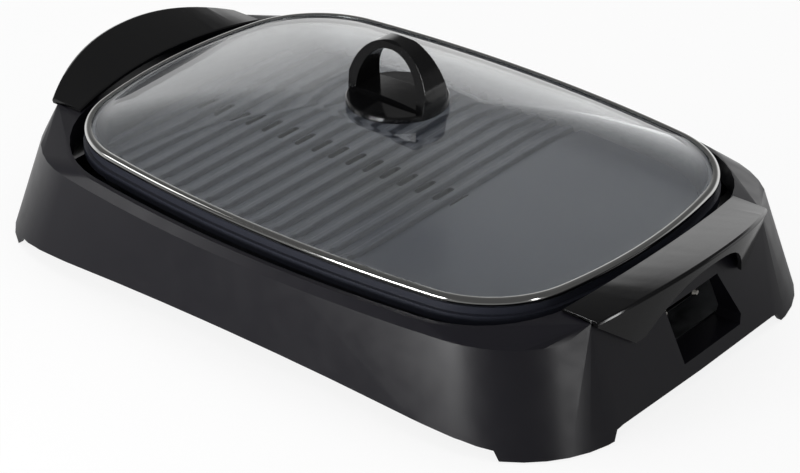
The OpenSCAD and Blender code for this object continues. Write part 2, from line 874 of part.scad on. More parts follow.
module terminal_guard() {
    color("#9c9fa2")
        difference() {
            union() {
                difference() {
                    at(guard_x, -guard_w / 2, guard_low_z)
                        cube([guard_l, guard_w, guard_h]);
                    at(guard_x + guard_t, -guard_w / 2 + guard_t, guard_low_z + guard_t)
                        cube([guard_l, guard_w - 2 * guard_t, guard_h - 2 * guard_t]);
                }
                // Ears that carry the two tabs under the plate
                at(guard_x, -tab_y - tab_w / 2, element_z - 4)
                    cube([guard_t, 2 * tab_y + tab_w, tab_top_z - element_z + 4]);
                for (sy = [-1, 1])
                    at(tab_x - tab_end, sy * tab_y - tab_w / 2, tab_top_z - guard_t)
                        cube([guard_x - tab_x + tab_end + guard_t, tab_w, guard_t]);
            }
            for (sy = [-1, 1]) {
                rod_x(guard_x - 1, guard_x + guard_t + 1, sy * pin_pitch / 2, element_z, bush_d + clear);
                at(tab_x, sy * tab_y, tab_top_z - guard_t - 1)
                    cylinder(h = guard_t + 2, d = guard_screw_d + 2 * clear);
            }
            rod_x(guard_x - 1, guard_x + guard_t + 1, 0, element_z, sleeve_d + clear);
        }
}

module guard_screws() {
    color("#6f7276")
        for (sy = [-1, 1])
            at(tab_x, sy * tab_y, tab_top_z - guard_t)
                screw(guard_screw_d, guard_screw_l, 2 * guard_screw_d, 0.6 * guard_screw_d);
}

module feeler_sleeve() {
    color("#b9bbbd")
        difference() {
            rod_x(sleeve_x - feeler_l - sleeve_end_t, sleeve_x, 0, element_z, sleeve_d);
            rod_x(sleeve_x - feeler_l, sleeve_x + 1, 0, element_z, feeler_d);
        }
}

// Spring blade on the inner side of the guard, with a raised contact at its tip
module earth_tab() {
    blade_t = 0.8;
    blade_l = guard_l - 5;
    blade_w = guard_h / 2;
    contact_l = blade_l / 4;
    y = guard_w / 2 - guard_t;
    color("#b08d4a") {
        at(guard_x + guard_l + 1 - blade_l, y - blade_t, element_z - blade_w / 2)
            cube([blade_l, blade_t, blade_w]);
        at(guard_x + guard_l + 1 - contact_l, y - 3 * blade_t, element_z - blade_w / 2)
            cube([contact_l, 2 * blade_t, blade_w]);
    }
}

module plate_brackets() {
    color("#8d9093")
        four(post_x, 0)
            difference() {
                union() {
                    translate([-bracket_w / 2, pad_y - bracket_w / 2, bracket_z - bracket_t])
                        cube([bracket_w, post_y - pad_y + bracket_w - 2, bracket_t]);
                    for (x = [-bracket_w / 2, bracket_w / 2 - bracket_t])
                        translate([x, pad_y - bracket_w / 2, bracket_z - bracket_rim_h - 1])
                            cube([bracket_t, post_y - pad_y + 1.6, bracket_rim_h]);
                }
                translate([0, post_y, bracket_z - bracket_t - 1])
                    cylinder(h = bracket_t + 2, d = tapper_hole_d);
            }
}

module bracket_screws() {
    color("#6f7276")
        four(post_x, post_y)
            at(0, 0, bracket_z)
                rotate([180, 0, 0])
                    screw(tapper_d, bracket_screw_l, tapper_head_d, tapper_head_h);
}

module grip_screws() {
    color("#6f7276")
        four(grip_boss_x, grip_boss_y)
            at(0, 0, saddle_z - wall_t)
                screw(grip_screw_d, grip_screw_l, tapper_head_d, tapper_head_h);
}

module lid_rim() {
    color("#c6c8ca")
        difference() {
            hull() {
                slab(grow(rim_ring, -1.2), rim_z, slice);
                slab(rim_ring, rim_z + 1.2, rim_h - 2.8);
                slab(grow(rim_ring, -1.6), rim_z + rim_h - slice, slice);
            }
            slab(grow(rim_ring, -rim_lip), rim_z - 1, rim_h + 2);
            slab(grow(rim_ring, -rim_sheet - 0.4), rim_z + rim_sheet, rim_h - 2 * rim_sheet);
        }
}

module rim_gasket() {
    color("#1c1c1c")
        difference() {
            slab(grow(rim_ring, -rim_sheet - 0.6), glass_edge_z, glass_t);
            slab(grow(rim_ring, -rim_sheet - 1.5), glass_edge_z - 1, glass_t + 2);
        }
}

// Steps of the dome, as shares of its plan size, from the rim up to the flat crown
dome_steps = [1, 0.96, 0.9, 0.82, 0.72, 0.6, 0.45, 0.27];

// Solid dome over the lid's plan, drawn in by inset, with its crown at top
module dome(inset, foot, top) {
    last = dome_steps[len(dome_steps) - 1];
    hull()
        for (s = dome_steps)
            slab(grow(rim_ring, -rim_lip - 1 - inset) * s,
                foot + (top - foot - slice) * (1 - s * s) / (1 - last * last), slice);
}

module lid_glass() {
    color([0.75, 0.8, 0.82, 0.35])
        difference() {
            union() {
                slab(grow(rim_ring, -rim_sheet - 1.7), glass_edge_z, glass_t);
                dome(0, glass_edge_z + glass_t - slice, crown_z);
            }
            dome(glass_t * 0.9, glass_edge_z - slice, crown_z - glass_t);
            slab(grow(rim_ring, -rim_lip - 1 - glass_t * 0.9), glass_edge_z - 1, 1 + slice);
            at(0, 0, crown_z - glass_t - 1)
                cylinder(h = glass_t + 2, d = glass_hole_d);
        }
}

function half_oval(rx, rz, n) = [for (i = [0 : n]) [rx * cos(180 * i / n), rz * sin(180 * i / n)]];

// Hole of the loop: a half oval whose sill is crowned
module loop_hole() {
    rx = knob_d / 2 - loop_t;
    rz = knob_h - knob_foot_h - sill_h - loop_top_t;
    polygon(concat(half_oval(rx, rz, 24), [for (i = [-5 : 5]) [rx * i / 5, -1.4 * pow(i / 5, 2)]]));
}

module knob() {
    loop_h = knob_h - knob_foot_h;
    color("#0e0e10")
        at(0, 0, knob_z)
            difference() {
                union() {
                    rotate_extrude($fn = 96)
                        polygon([
                            [0, 0], [knob_d / 2 - 0.6, 0], [knob_d / 2, 0.6],
                            [knob_d / 2, knob_foot_h - 1], [knob_d / 2 - 1, knob_foot_h],
                            [0, knob_foot_h + 0.6]
                        ]);
                    intersection() {
                        at(0, 0, knob_foot_h - 0.5)
                            rotate([90, 0, 0])
                                linear_extrude(knob_d, center = true)
                                    polygon(half_oval(knob_d / 2 - 0.4, loop_h + 0.5, 32));
                        loop_side();
                        cylinder(h = knob_h + 1, r = knob_d / 2 - 0.2, $fn = 96);
                    }
                }
                at(0, 0, knob_foot_h + sill_h)
                    rotate([90, 0, 0])
                        linear_extrude(knob_d, center = true)
                            loop_hole();
                at(0, 0, -1)
                    cylinder(h = insert_l + 1, d = insert_d + clear / 2);
            }
}

// The loop as seen from its side, wide at the foot and drawn in to the top
module loop_side() {
    rotate([90, 0, 90])
        linear_extrude(knob_d, center = true)
            polygon([
                [-loop_foot_y, 0], [loop_foot_y, 0], [loop_foot_y, knob_foot_h + 3],
                [loop_top_y, knob_h - 1.5], [loop_top_y - 2, knob_h], [2 - loop_top_y, knob_h],
                [-loop_top_y, knob_h - 1.5], [-loop_foot_y, knob_foot_h + 3]
            ]);
}

module knob_insert() {
    color("#b08d4a")
        at(0, 0, knob_z + 0.1)
            difference() {
                cylinder(h = insert_l - 0.2, d = insert_d);
                translate([0, 0, -1])
                    cylinder(h = insert_l + 2, d = screw_d + clear / 2);
            }
}

module washer(z, h, d, hole_d) {
    at(0, 0, z)
        difference() {
            cylinder(h = h, d = d);
            translate([0, 0, -1])
                cylinder(h = h + 2, d = hole_d);
        }
}

module knob_seal() {
    color("#2a2a2a")
        washer(crown_z, knob_z - crown_z, 32, glass_hole_d);
}

module inner_seal() {
    color("#2a2a2a")
        washer(crown_z - glass_t - seal_t, seal_t, 22, screw_d + clear);
}

module steel_washer() {
    color("#b9bbbd")
        washer(crown_z - glass_t - seal_t - washer_t, washer_t, 18, screw_d + clear);
}

module knob_screw() {
    head_z = crown_z - glass_t - seal_t - washer_t;
    color("#9c9fa2")
        at(0, 0, head_z)
            screw(screw_d, knob_z + insert_l - 0.6 - head_z, screw_head_d, screw_head_h);
}

housing();
bottom_sheet();
bottom_screws();
rubber_feet();
drip_tray();
grip_left();
grip_right();
grip_screws();
plate_brackets();
bracket_screws();
grill_plate();
heating_element();
terminal_pin_front();
terminal_pin_back();
ceramic_bushes();
terminal_guard();
guard_screws();
feeler_sleeve();
earth_tab();
lid_rim();
rim_gasket();
lid_glass();
knob();
knob_insert();
knob_seal();
inner_seal();
steel_washer();
knob_screw();
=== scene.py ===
import math

import bmesh
import bpy
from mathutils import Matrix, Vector


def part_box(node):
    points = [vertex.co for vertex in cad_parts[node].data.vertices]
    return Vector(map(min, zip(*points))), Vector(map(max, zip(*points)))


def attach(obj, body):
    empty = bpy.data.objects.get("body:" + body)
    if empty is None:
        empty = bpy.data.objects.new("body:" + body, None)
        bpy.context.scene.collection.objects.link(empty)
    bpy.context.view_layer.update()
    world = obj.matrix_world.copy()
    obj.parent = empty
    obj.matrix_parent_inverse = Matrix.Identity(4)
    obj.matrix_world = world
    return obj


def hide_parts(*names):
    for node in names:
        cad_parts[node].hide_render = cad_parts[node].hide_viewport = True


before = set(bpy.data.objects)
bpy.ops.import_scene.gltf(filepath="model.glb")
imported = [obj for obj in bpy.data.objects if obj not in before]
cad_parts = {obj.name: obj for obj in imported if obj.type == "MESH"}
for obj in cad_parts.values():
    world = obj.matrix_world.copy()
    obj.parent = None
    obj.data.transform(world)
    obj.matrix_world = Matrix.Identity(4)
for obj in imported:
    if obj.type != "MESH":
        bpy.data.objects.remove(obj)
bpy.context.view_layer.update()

bl_info = {
    "name": "Indoor Grill With Glass Lid",
    "version": (1, 0, 0),
    "blender": (4, 5, 0),
    "location": "View3D > Sidebar > Grill",
    "description": "Dresses the grill's housing, cooking plate, heater and glass lid",
    "category": "Object",
}

MM = 0.001

# Camera of the picture: place, aim, focal length and sensor width in millimetres
CAMERA_PLACE = (1108.9, -1338.2, 1011.2)
CAMERA_AIM = (37.6, -43.0, 46.5)
CAMERA_LENS = 133.55
CAMERA_SENSOR = 36
CAMERA_FAR_END = 50  # metres

# Level direction from the front right corner to the bright backdrop and to the brighter side of the
# floor's painted reflection
BEHIND = (-0.64, 0.77, 0.0)

# Lamps: place and aim in metres, width, height, watts, and whether gloss and glass mirror them
LAMPS = (
    # Wide top light that only shades, so that no box of light lies on the glass
    ("overhead_lamp", (-0.2, 0.3, 1.7), (0, 0, 0), 1.6, 1.1, 14, False),
    # Low strip, mirrored as the bright patch of the front wall
    ("front_lamp", (-0.08, -0.85, 0.13), (0.15, -0.165, 0.035), 0.42, 0.16, 4.2, True),
    # Narrow strip, mirrored as the bright line of the front right corner
    ("corner_lamp", (0.92, -0.22, 0.14), (0.23, -0.12, 0.04), 0.08, 0.24, 0.5, True),
    # Small high lamp for the left end
    ("left_lamp", (-1.3, -0.9, 0.8), (-0.1, 0, 0.05), 0.5, 0.5, 2, True),
)
FLOOR_RADIUS = 6.0

# Rings: half length, half width, bow of the ends, bow of the long sides, corner radius
RIM_RING = (206.4, 144.6, 28.0, 21.0, 74.0)
BASE_RING = (250.5, 168.0, 4.0, 5.0, 84.0)
RIDGE_RING = (232.3, 163.5, 8.0, 25.0, 82.0)
LIP_RING = (214.5, 159.0, 17.0, 23.0, 85.0)
RIDGE_HEIGHT = 67.5
LIP_HEIGHT = 72.7
SIDE_STEPS = 16
CORNER_STEPS = 22

# Edges that turn by more than this stay sharp: on copies of nodes, built pieces and the glass
COPY_SHARP = 28
BUILT_SHARP = 35
GLASS_SHARP = 30
MERGE_DISTANCE = 0.01  # millimetres

# Shading of the housing's wall, in millimetres: corners this near to it and this close in direction
WALL_NEAR = 0.6
WALL_SAME_WAY = 0.97
WALL_FOOT = 0.5
WALL_STEP = 0.05

# Ledge under the socket, in millimetres: low and high corner and the slant of its lower edge
LEDGE_LOW = (219, -19, 15.4)
LEDGE_HIGH = (227.5, 53, 17.2)
LEDGE_TAPER = 0.8

# Rubber feet, in millimetres
FOOT_RADIUS = 9.0
FOOT_HEIGHT = 4.5
TREAD_RADIUS = 0.4
TREAD_SHARES = (0.35, 0.6, 0.85)

# Screws: node, body, places, shank radius and length, head radius and height, turned over or not
SCREWS = (
    ("bottom_screws", "base",
     [(-200, -106, 17.5), (-200, 106, 17.5), (200, -106, 17.5), (200, 106, 17.5),
      (0, 153.5, 17.5), (0, -153.5, 17.5)], 1.6, 14, 3.2, 2.0, 0),
    ("grip_screws", "base",
     [(-222, -66, 73.8), (-222, 66, 73.8), (222, -66, 73.8), (222, 66, 73.8)], 1.5, 7, 3.2, 2.0, 0),
    ("bracket_screws", "base",
     [(-150, -139, 50.4), (-150, 139, 50.4), (150, -139, 50.4), (150, 139, 50.4)],
     1.6, 10, 3.2, 2.0, 1),
    ("guard_screws", "plate", [(186, 29, 51.6), (186, -29, 51.6)], 1.5, 5, 3.0, 1.8, 0),
    ("knob_screw", "lid", [(0, 0, 110)], 2.5, 12.9, 4.5, 2.6, 0),
)
RECESS_WIDTH = 1.0

# Section of the lid's rim, in millimetres: bulge of its outside, and bend and fall of its upper lip
RIM_BULGE = 2.6
RIM_BEND = 0.8
RIM_FALL = 0.3

# Lid glass: insets of its edge and dome from the rim, radius of its hole, in millimetres, then the
# share of its size at which the flat crown starts, the share of its inner face, and rings to there
GLASS_EDGE_INSET = 2.5
GLASS_DOME_INSET = 5.6
GLASS_HOLE_RADIUS = 3.5
CROWN_SHARE = 0.27
INNER_SHARE = 0.985
DOME_STEPS = 26

# Plated, rolled and turned metal: colour, roughness and size of its uneven patches in millimetres
METALS = {
    "zinc_plate": ("#9a9da1", 0.38, 7),  # Zinc-plated sheet: pale grey with soft spangles
    "tray_sheet": ("#b4b5b6", 0.28, 12),  # Bright-rolled sheet: wide, cloudy reflections
    "socket_shade_zinc": ("#2c2d30", 0.45, 5),  # Zinc plate painted dark grey and dull: painted shade of the deep socket
    "dark_screw": ("#6d7074", 0.35, 2),  # Dark-plated screw steel: grey, with a low gloss
    "nickel_plate": ("#c4c1ba", 0.22, 4),  # Nickel over steel: warm white and fairly sharp
    "brass_stock": ("#b08d4a", 0.3, 3),  # Stamped and turned brass: yellow, with a soft gloss
}


def linear(hex_colour):
    """Linear RGBA of an sRGB hex colour."""
    channels = [int(hex_colour[i:i + 2], 16) / 255 for i in (1, 3, 5)]
    return tuple(
        c / 12.92 if c <= 0.04045 else ((c + 0.055) / 1.055) ** 2.4 for c in channels
    ) + (1.0,)


def colour_property(name, description, hex_colour):
    """A colour that a user can change, from its sRGB hex value."""
    return bpy.props.FloatVectorProperty(
        name=name, description=description, subtype="COLOR", size=4, min=0, max=1,
        default=linear(hex_colour),
    )


def length_property(name, description, millimetres):
    """A length that a user can change, in scene units."""
    return bpy.props.FloatProperty(
        name=name, description=description, unit="LENGTH", min=0, precision=5,
        default=millimetres * MM,
    )


class GrillSizes(bpy.types.PropertyGroup):
    moulding_edge: length_property("Moulding edge", "Radius of the housing's moulded edges", 0.9)
    grip_edge: length_property("Grip edge", "Radius of the grips' edges", 0.7)
    knob_edge: length_property("Knob edge", "Radius of the knob's edges", 1.1)
    casting_edge: length_property("Casting edge", "Radius of the cooking plate's edges", 0.5)
    glass_thickness: length_property("Glass thickness", "Thickness of the tempered glass", 4.0)
    crown_height: length_property("Crown height", "Height of the flat crown of the glass", 116.5)
    dome_foot: length_property("Dome foot", "Height at which the dome leaves the steel rim", 84.2)
    rim_height: length_property("Rim height", "Height of the steel rim", 6.0)
    rim_lip: length_property("Rim lip", "Width of the rim's lips over the glass", 4.6)
    rim_sheet: length_property("Rim sheet", "Thickness of the rim's steel", 0.8)
    thread_pitch: length_property("Thread pitch", "Pitch of the screws' threads", 1.1)


class GrillColours(bpy.types.PropertyGroup):
    moulding: colour_property("Moulding", "Black housing", "#141319")
    phenolic: colour_property("Phenolic", "Black grips and knob", "#070708")
    coating: colour_property("Coating", "Non-stick coat of the cooking plate", "#2a2c35")
    steel: colour_property("Steel", "Stainless rim", "#c8c8c6")
    floor: colour_property("Floor", "Pale floor", "#f4f4f4")


# Helpers for node trees


def add(tree, kind, inputs=None, **settings):
    """Adds a node with its settings; each input takes a value or the socket that feeds it."""
    node = tree.nodes.new(kind)
    for name, value in settings.items():
        setattr(node, name, value)
    for name, value in (inputs or {}).items():
        if isinstance(value, bpy.types.NodeSocket):
            tree.links.new(value, node.inputs[name])
        else:
            node.inputs[name].default_value = value
    return node


def start_material(name, colour, roughness, metallic=0.0):
    """A new material: its tree, its shader and the object coordinates its patterns read."""
    material = bpy.data.materials.new(name)
    material.use_nodes = True
    tree = material.node_tree
    tree.nodes.clear()
    shader = add(tree, "ShaderNodeBsdfPrincipled", {
        "Base Color": colour, "Roughness": roughness, "Metallic": metallic})
    add(tree, "ShaderNodeOutputMaterial", {"Surface": shader.outputs["BSDF"]})
    where = add(tree, "ShaderNodeTexCoord").outputs["Object"]
    return material, tree, shader, where


def vary(tree, where, size_mm, low, high, target):
    """Feeds a socket with noise of this grain size between two values."""
    noise = add(tree, "ShaderNodeTexNoise", {
        "Vector": where, "Scale": 1 / (size_mm * MM), "Detail": 2.0})
    # Noise lies mostly between 0.3 and 0.7
    spread = add(tree, "ShaderNodeMapRange", {
        "Value": noise.outputs["Fac"], "From Min": 0.3, "From Max": 0.7,
        "To Min": low, "To Max": high})
    tree.links.new(spread.outputs["Result"], target)


def emboss(tree, where, size_mm, detail, depth_mm, shader):
    """Raises the surface with noise of this grain size, detail and depth."""
    noise = add(tree, "ShaderNodeTexNoise", {
        "Vector": where, "Scale": 1 / (size_mm * MM), "Detail": detail})
    bump = add(tree, "ShaderNodeBump", {
        "Height": noise.outputs["Fac"], "Strength": 1.0, "Distance": depth_mm * MM})
    tree.links.new(bump.outputs["Normal"], shader.inputs["Normal"])


def mottle(tree, where, size_mm, detail, dark, light, shader):
    """Mixes two colours by noise of this grain size and detail."""
    noise = add(tree, "ShaderNodeTexNoise", {
        "Vector": where, "Scale": 1 / (size_mm * MM), "Detail": detail})
    mix = add(tree, "ShaderNodeMix", {
        "Factor": noise.outputs["Fac"], "A": dark, "B": light}, data_type="RGBA")
    tree.links.new(mix.outputs["Result"], shader.inputs["Base Color"])


def blend_surfaces(tree, share, first, second):
    """Sends a mix of two shaders to the material's output."""
    both = add(tree, "ShaderNodeMixShader", {0: share, 1: first, 2: second})
    output = next(n for n in tree.nodes if n.bl_idname == "ShaderNodeOutputMaterial")
    tree.links.new(both.outputs["Shader"], output.inputs["Surface"])


# Finishes. Grain that is too fine to show in the picture is drawn at 0.5 to 0.9 mm instead.


def moulded_black(colour):
    # Injection-moulded ABS from a finely spark-eroded mould: satin, lamps show as wide soft patches
    material, tree, shader, where = start_material("moulded_abs", colour, 0.34)
    shader.inputs["IOR"].default_value = 1.5
    vary(tree, where, 14, 0.31, 0.37, shader.inputs["Roughness"])
    emboss(tree, where, 0.6, 3.0, 0.012, shader)
    return material


def polished_black(colour):
    # Compression-moulded phenolic, polished in the mould: sharp lamp reflections over deep black
    material, tree, shader, where = start_material("phenolic_gloss", colour, 0.1)
    shader.inputs["IOR"].default_value = 1.58
    vary(tree, where, 9, 0.08, 0.14, shader.inputs["Roughness"])
    emboss(tree, where, 6, 1.0, 0.03, shader)
    return material


def coated_casting(colour):
    # Sprayed non-stick coat on die-cast aluminium: dark grey, fine specks and an orange-peel skin
    material, tree, shader, where = start_material("non_stick_coat", colour, 0.36)
    dark, light = ([c * share for c in colour[:3]] + [1] for share in (0.75, 1.3))
    mottle(tree, where, 0.8, 4.0, dark, light, shader)
    vary(tree, where, 1.2, 0.3, 0.42, shader.inputs["Roughness"])
    emboss(tree, where, 1.4, 2.0, 0.03, shader)
    return material


def rolled_stainless(colour):
    # Polished stainless strip, rolled to a channel: bright, with hairlines along the strip
    material, tree, shader, where = start_material("stainless_strip", colour, 0.1, 1.0)
    stretch = add(tree, "ShaderNodeMapping", {"Vector": where, "Scale": (1, 1, 9)})
    hairs = add(tree, "ShaderNodeTexNoise", {
        "Vector": stretch.outputs["Vector"], "Scale": 1 / (1.5 * MM), "Detail": 3.0})
    spread = add(tree, "ShaderNodeMapRange", {
        "Value": hairs.outputs["Fac"], "To Min": 0.07, "To Max": 0.15})
    tree.links.new(spread.outputs["Result"], shader.inputs["Roughness"])
    return material


def tempered_glass():
    # Clear tempered soda-lime glass: smooth fire-polished faces with a faint cool cast
    material, tree, shader, where = start_material("tempered_glass", linear("#f5f8f9"), 0.0)
    shader.inputs["IOR"].default_value = 1.5
    shader.inputs["Transmission Weight"].default_value = 1.0
    emboss(tree, where, 45, 0.0, 0.05, shader)
    # The glass lets the lamps reach the plate below it
    clear = add(tree, "ShaderNodeBsdfTransparent", {"Color": (0.92, 0.93, 0.94, 1)})
    path = add(tree, "ShaderNodeLightPath")
    blend_surfaces(
        tree, path.outputs["Is Shadow Ray"], shader.outputs["BSDF"], clear.outputs["BSDF"])
    return material


def plated_metal(name, hex_colour, roughness, patch_mm):
    # Electroplated or bright-rolled sheet and wire: metallic, with soft patches of uneven gloss
    material, tree, shader, where = start_material(name, linear(hex_colour), roughness, 1.0)
    low, high = roughness * 0.8, roughness * 1.3
    vary(tree, where, patch_mm, low, high, shader.inputs["Roughness"])
    emboss(tree, where, 0.9, 2.0, 0.01, shader)
    return material


def browned_sheath():
    # Stainless sheath of a tubular heater after use: straw and blue-grey temper colours
    material, tree, shader, where = start_material("browned_sheath", linear("#4a4541"), 0.45, 1.0)
    mottle(tree, where, 22, 2.0, linear("#3b3a3d"), linear("#6b5a45"), shader)
    return material


def fired_ceramic():
    # Steatite bush, pressed and fired: off-white, dense and faintly mottled
    material, tree, shader, where = start_material("steatite", linear("#e6e0d2"), 0.5)
    vary(tree, where, 1.5, 0.42, 0.6, shader.inputs["Roughness"])
    emboss(tree, where, 0.5, 2.0, 0.02, shader)
    return material


def moulded_rubber():
    # Black moulded rubber: matt, with a dusty bloom
    material, tree, shader, where = start_material("moulded_rubber", linear("#161616"), 0.8)
    vary(tree, where, 3, 0.7, 0.9, shader.inputs["Roughness"])
    emboss(tree, where, 0.7, 2.0, 0.03, shader)
    return material


def finish(name):
    """The finish of that name, made once."""
    found = bpy.data.materials.get(name)
    if found:
        return found
    if name in METALS:
        return plated_metal(name, *METALS[name])
    colours = bpy.context.scene.grill_colours
    makers = {
        "moulded_abs": lambda: moulded_black(tuple(colours.moulding)),
        "phenolic_gloss": lambda: polished_black(tuple(colours.phenolic)),
        "non_stick_coat": lambda: coated_casting(tuple(colours.coating)),
        "stainless_strip": lambda: rolled_stainless(tuple(colours.steel)),
        "tempered_glass": tempered_glass,
        "browned_sheath": browned_sheath,
        "steatite": fired_ceramic,
        "moulded_rubber": moulded_rubber,
    }
    return makers[name]()


# Helpers for meshes


def add_object(name, data):
    """A new object of the scene, at the origin."""
    new_object = bpy.data.objects.new(name, data)
    bpy.context.scene.collection.objects.link(new_object)
    return new_object


def dress(mesh, finish_name):
    """Gives a mesh one finish."""
    mesh.materials.clear()
    mesh.materials.append(finish(finish_name))


def new_piece(name, mesh, finish_name, slot, body, *nodes):
    """A finished piece that rides on a body and stands for these nodes of the frame."""
    piece = add_object(name, mesh)
    dress(mesh, finish_name)
    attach(piece, body)
    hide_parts(*nodes)


def coat(node, finish_name):
    """Gives a node of the frame its finish."""
    dress(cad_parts[node].data, finish_name)


def bake(piece):
    """Turns a piece with its modifiers into one plain mesh."""
    graph = bpy.context.evaluated_depsgraph_get()
    mesh = bpy.data.meshes.new_from_object(piece.evaluated_get(graph))
    bpy.data.objects.remove(piece)
    return mesh


def smooth_by_angle(mesh, degrees):
    """Shades a mesh smooth, apart from the edges that turn by more than this."""
    bm = bmesh.new()
    bm.from_mesh(mesh)
    limit = math.radians(degrees)
    for face in bm.faces:
        face.smooth = True
    for edge in bm.edges:
        edge.smooth = len(edge.link_faces) == 2 and edge.calc_face_angle(0) < limit
    bm.to_mesh(mesh)
    bm.free()


def rounded_copy(node, edge, flat_degrees=1.0):
    """A merged copy of a node's mesh with its sharp edges rounded and its curves shaded smooth."""
    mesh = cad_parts[node].data.copy()
    bm = bmesh.new()
    bm.from_mesh(mesh)
    bmesh.ops.remove_doubles(bm, verts=bm.verts, dist=MERGE_DISTANCE * MM)
    bmesh.ops.dissolve_limit(
        bm, angle_limit=math.radians(flat_degrees), verts=bm.verts, edges=bm.edges)
    bm.to_mesh(mesh)
    bm.free()
    piece = add_object(node + "_rounding", mesh)
    bevel = piece.modifiers.new("edges", "BEVEL")
    bevel.width = edge
    bevel.segments = 2
    bevel.limit_method = "ANGLE"
    bevel.angle_limit = math.radians(COPY_SHARP)
    bevel.use_clamp_overlap = True
    bevel.miter_outer = "MITER_ARC"
    rounded = bake(piece)
    smooth_by_angle(rounded, COPY_SHARP)
    piece = add_object(node + "_shading", rounded)
    weighted = piece.modifiers.new("even", "WEIGHTED_NORMAL")
    weighted.keep_sharp = True
    return bake(piece)


def ring_arcs(ring, grow=0.0):
    """The end, long side and corner arc of a ring's first quarter, each as middle and radius."""
    half_l, half_w, bow_end, bow_side, corner = ring
    half_l, half_w, corner = half_l + grow, half_w + grow, corner + grow
    end_r = (half_w ** 2 + bow_end ** 2) / (2 * bow_end)
    side_r = (half_l ** 2 + bow_side ** 2) / (2 * bow_side)
    end_c = Vector((half_l - end_r, 0))
    side_c = Vector((0, half_w - side_r))
    between = side_c - end_c
    length = between.length
    along = between / length
    part = ((end_r - corner) ** 2 - (side_r - corner) ** 2 + length ** 2) / (2 * length)
    aside = math.sqrt((end_r - corner) ** 2 - part ** 2)
    centre = end_c + along * part + Vector((-along.y, along.x)) * aside
    return (end_c, end_r), (side_c, side_r), (centre, corner)


def ring_distance(ring, x, y):
    """How far a point lies outside a ring, in millimetres."""
    (end_c, end_r), (side_c, side_r), (centre, corner) = ring_arcs(ring)
    spot = Vector((abs(x), abs(y)))
    turn_end = math.atan2(centre.y, centre.x - end_c.x)
    turn_side = math.atan2(centre.y - side_c.y, centre.x)
    if math.atan2(spot.y, spot.x - end_c.x) < turn_end:
        return (spot - end_c).length - end_r
    if math.atan2(spot.y - side_c.y, spot.x) > turn_side:
        return (spot - side_c).length - side_r
    return (spot - centre).length - corner


def wall_distance(x, y, z):
    """How far a point lies outside the housing's wall or the slope above it, in millimetres."""
    low, high, share = BASE_RING, RIDGE_RING, z / RIDGE_HEIGHT
    if z > RIDGE_HEIGHT:
        low, high = RIDGE_RING, LIP_RING
        share = (z - RIDGE_HEIGHT) / (LIP_HEIGHT - RIDGE_HEIGHT)
    return ring_distance([a + (b - a) * share for a, b in zip(low, high)], x, y)


def even_wall(mesh):
    """Shades the housing's wall and slope as the curved surfaces that their facets stand for."""
    normals = [Vector(n.vector) for n in mesh.corner_normals]
    step = WALL_STEP
    for face in mesh.polygons:
        middle = face.center / MM
        if not WALL_FOOT < middle.z < LIP_HEIGHT - 2 * step:
            continue
        for k in face.loop_indices:
            x, y, z = mesh.vertices[mesh.loops[k].vertex_index].co / MM
            if middle.z < RIDGE_HEIGHT:
                z = min(z, RIDGE_HEIGHT - step)
            else:
                z = max(z, RIDGE_HEIGHT + step)
            if abs(wall_distance(x, y, z)) > WALL_NEAR:
                continue
            # Half a step up and down keeps to one side of the ridge
            outward = Vector((
                wall_distance(x + step, y, z) - wall_distance(x - step, y, z),
                wall_distance(x, y + step, z) - wall_distance(x, y - step, z),
                2 * (wall_distance(x, y, z + step / 2) - wall_distance(x, y, z - step / 2)),
            )).normalized()
            if outward.dot(face.normal) > WALL_SAME_WAY:
                normals[k] = outward
    mesh.normals_split_custom_set(normals)


def add_ledge(mesh):
    """Adds a moulded ledge under the socket, on which the bottom sheet's edge lies."""
    (x_low, y_low, z_low), (x_high, y_high, z_high) = LEDGE_LOW, LEDGE_HIGH
    bm = bmesh.new()
    bm.from_mesh(mesh)
    rows = []
    for z, inset in ((z_low, LEDGE_TAPER), (z_low + LEDGE_TAPER, 0), (z_high, 0)):
        left, right, front, back = x_low + inset, x_high - inset, y_low + inset, y_high - inset
        outline = ((left, front), (right, front), (right, back), (left, back))
        rows.append([bm.verts.new(Vector((x, y, z)) * MM) for x, y in outline])
    faces = [bm.faces.new(reversed(rows[0])), bm.faces.new(rows[-1])]
    for under, over in zip(rows, rows[1:]):
        for i in range(4):
            faces.append(bm.faces.new((under[i], under[i - 3], over[i - 3], over[i])))
    bmesh.ops.recalc_face_normals(bm, faces=faces)
    bm.to_mesh(mesh)
    bm.free()


def ring_points(ring, grow):
    """Outline of a grown ring, in millimetres, anticlockwise from the middle of its right end."""
    (end_c, end_r), (side_c, side_r), (centre, corner) = ring_arcs(ring, grow)
    from_end = math.atan2(centre.y, centre.x - end_c.x)
    from_side = math.atan2(centre.y - side_c.y, centre.x)

    def on_arc(middle, radius, angle):
        return Vector((middle.x + radius * math.cos(angle), middle.y + radius * math.sin(angle)))

    quarter = [on_arc(end_c, end_r, from_end * i / SIDE_STEPS) for i in range(SIDE_STEPS)]
    turn = (from_side - from_end) / CORNER_STEPS
    quarter += [on_arc(centre, corner, from_end + turn * i) for i in range(CORNER_STEPS + 1)]
    rest = (math.pi / 2 - from_side) / SIDE_STEPS
    quarter += [on_arc(side_c, side_r, from_side + rest * i) for i in range(1, SIDE_STEPS + 1)]
    half = quarter + [Vector((-p.x, p.y)) for p in reversed(quarter[:-1])]
    return half + [Vector((p.x, -p.y)) for p in reversed(half[1:-1])]


def loft(name, rings):
    """A mesh that joins rings of equally many points in millimetres, and the last to the first."""
    mesh = bpy.data.meshes.new(name)
    bm = bmesh.new()
    rows = [[bm.verts.new(Vector((p.x, p.y, z)) * MM) for p in ring] for ring, z in rings]
    count = len(rows[0])
    for low, high in zip(rows, rows[1:] + rows[:1]):
        for i in range(count):
            j = (i + 1) % count
            bm.faces.new((low[i], low[j], high[j], high[i]))
    bmesh.ops.recalc_face_normals(bm, faces=bm.faces)
    bm.to_mesh(mesh)
    bm.free()
    return mesh


